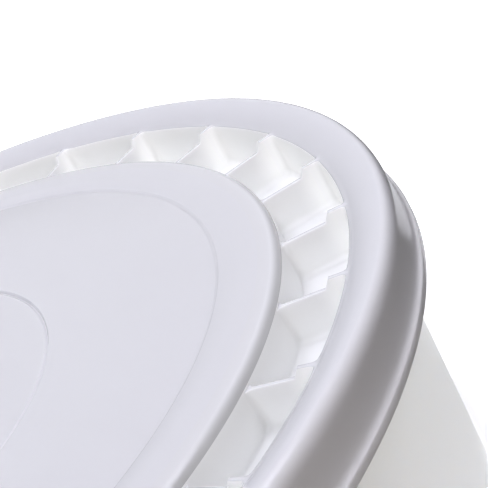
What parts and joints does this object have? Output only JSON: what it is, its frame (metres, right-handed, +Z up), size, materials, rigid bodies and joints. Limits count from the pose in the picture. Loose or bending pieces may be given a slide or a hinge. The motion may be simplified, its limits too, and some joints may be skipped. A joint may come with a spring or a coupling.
{
  "type": "plastic fermenting bucket",
  "caption": "Tapered white plastic fermenting bucket with a ribbed press-fit lid, airlock, wire bail and lever tap.",
  "frame": {"origin": "centre of the underside, on the flat pad that is flush with the foot ring", "axes": "+Z up along the bucket's axis, -Y towards the tap, X along the bail's pivot"},
  "size_m": [0.36, 0.3839, 0.476],
  "materials": {
    "wall_plastic": "milky white food-grade plastic, satin, slightly translucent",
    "lid_plastic": "cool white moulded plastic, satin gloss",
    "seal_rubber": "soft off-white sealing ring",
    "grey_rubber": "dark grey rubber",
    "clear_plastic": "clear rigid plastic",
    "steel": "zinc-plated steel wire",
    "grip_plastic": "white moulded plastic roller",
    "tap_plastic": "white moulded plastic",
    "lever_plastic": "dark red moulded plastic"
  },
  "bodies": {
    "bucket": {"bucket_body": "wall_plastic", "tap_body": "tap_plastic", "tap_washer_outer": "grey_rubber", "tap_washer_inner": "grey_rubber", "tap_nut": "tap_plastic", "sediment_reducer": "tap_plastic"},
    "lid": {"lid": "lid_plastic", "lid_gasket": "seal_rubber", "airlock_grommet": "grey_rubber"},
    "airlock": {"airlock_body": "clear_plastic"},
    "airlock_float": {"airlock_float": "clear_plastic"},
    "airlock_cap": {"airlock_cap": "clear_plastic"},
    "bail": {"bail_handle": "steel"},
    "grip": {"handle_grip": "grip_plastic"},
    "tap_lever": {"tap_lever": "lever_plastic"}
  },
  "joints": [
    {"name": "lid_lift", "type": "slide", "parent": "bucket", "child": "lid", "axis": [0, 0, 1], "range_m": [0, 0.05]},
    {"name": "airlock_lift", "type": "slide", "parent": "lid", "child": "airlock", "axis": [0, 0, 1], "range_m": [0, 0.035]},
    {"name": "float_rise", "type": "slide", "parent": "airlock", "child": "airlock_float", "axis": [0, 0, 1], "range_m": [0, 0.01]},
    {"name": "cap_lift", "type": "slide", "parent": "airlock", "child": "airlock_cap", "axis": [0, 0, 1], "range_m": [0, 0.02]},
    {"name": "bail_swing", "type": "hinge", "parent": "bucket", "child": "bail", "pos_m": [0, 0, 0.309], "axis": [1, 0, 0], "range_deg": [0, 255]},
    {"name": "grip_spin", "type": "hinge", "parent": "bail", "child": "grip", "pos_m": [0, 0.17136, 0.17751], "axis": [1, 0, 0], "continuous": true},
    {"name": "tap_turn", "type": "hinge", "parent": "bucket", "child": "tap_lever", "pos_m": [0, -0.186, 0.045], "axis": [0, 0, -1], "range_deg": [0, 90]}
  ]
}
